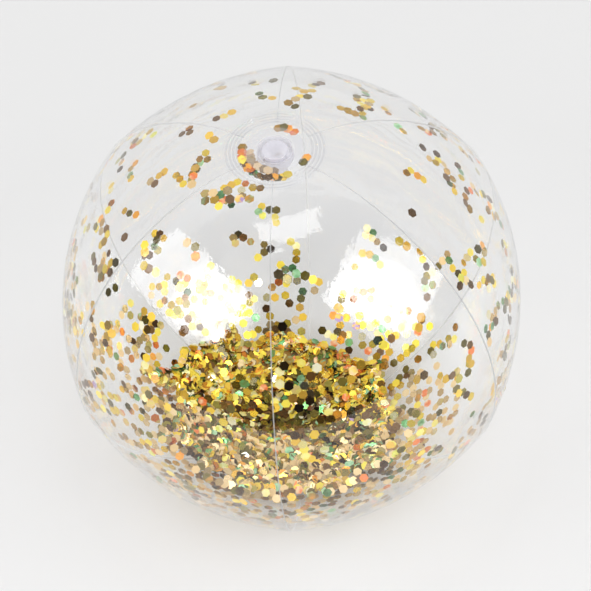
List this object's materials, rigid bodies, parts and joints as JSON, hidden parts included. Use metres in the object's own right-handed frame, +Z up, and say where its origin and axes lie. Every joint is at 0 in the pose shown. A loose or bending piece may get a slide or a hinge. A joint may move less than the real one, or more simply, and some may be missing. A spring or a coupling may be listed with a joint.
{
  "type": "inflatable beach ball",
  "caption": "Round inflatable ball of clear film gores with welded seams, polar patches, a push-in stem valve with tethered plug, and loose hexagonal confetti inside.",
  "frame": {"origin": "centre of the flat area under the ball that it rests on", "axes": "+Z up the polar axis through the valve; a seam faces -Y"},
  "size_m": [0.2564, 0.264, 0.2503],
  "materials": {
    "clear_film": "glossy clear vinyl film",
    "patch_film": "glossy clear vinyl film",
    "milky_vinyl": "milky soft vinyl",
    "plug_vinyl": "milky soft vinyl",
    "confetti": "gold foil flakes",
    "loose_confetti": "gold foil flakes"
  },
  "bodies": {
    "shell": {"gore_1": "clear_film", "gore_2": "clear_film", "gore_3": "clear_film", "gore_4": "clear_film", "gore_5": "clear_film", "gore_6": "clear_film", "valve_patch": "patch_film", "base_patch": "patch_film", "valve_flange": "milky_vinyl", "valve_membrane": "milky_vinyl", "confetti_wall_1": "confetti", "confetti_wall_2": "confetti", "confetti_wall_3": "confetti", "confetti_wall_4": "confetti", "confetti_wall_5": "confetti", "confetti_wall_6": "confetti", "confetti_valve": "confetti"},
    "stem": {"valve_stem": "milky_vinyl", "plug_tether": "milky_vinyl"},
    "plug": {"valve_plug": "plug_vinyl"},
    "flap": {"check_flap": "milky_vinyl"},
    "heap": {"confetti_heap": "loose_confetti"}
  },
  "joints": [
    {"name": "stem_pull", "type": "slide", "parent": "shell", "child": "stem", "axis": [0, 0, 1], "range_m": [0, 0.012], "deforming": ["valve_membrane"]},
    {"name": "plug_pull", "type": "slide", "parent": "stem", "child": "plug", "axis": [0, 0, 1], "range_m": [0, 0.01], "deforming": ["plug_tether"]},
    {"name": "flap_swing", "type": "hinge", "parent": "stem", "child": "flap", "pos_m": [0, 0.0046, 0.23291], "axis": [1, 0, 0], "range_deg": [0, 55], "stiffness_Nm_per_rad": 0.0002, "springref_deg": -11.46},
    {"name": "heap_slide", "type": "hinge", "parent": "shell", "child": "heap", "pos_m": [0, 0, 0.12495], "axis": [0, 1, 0], "range_deg": [-60, 60]}
  ]
}
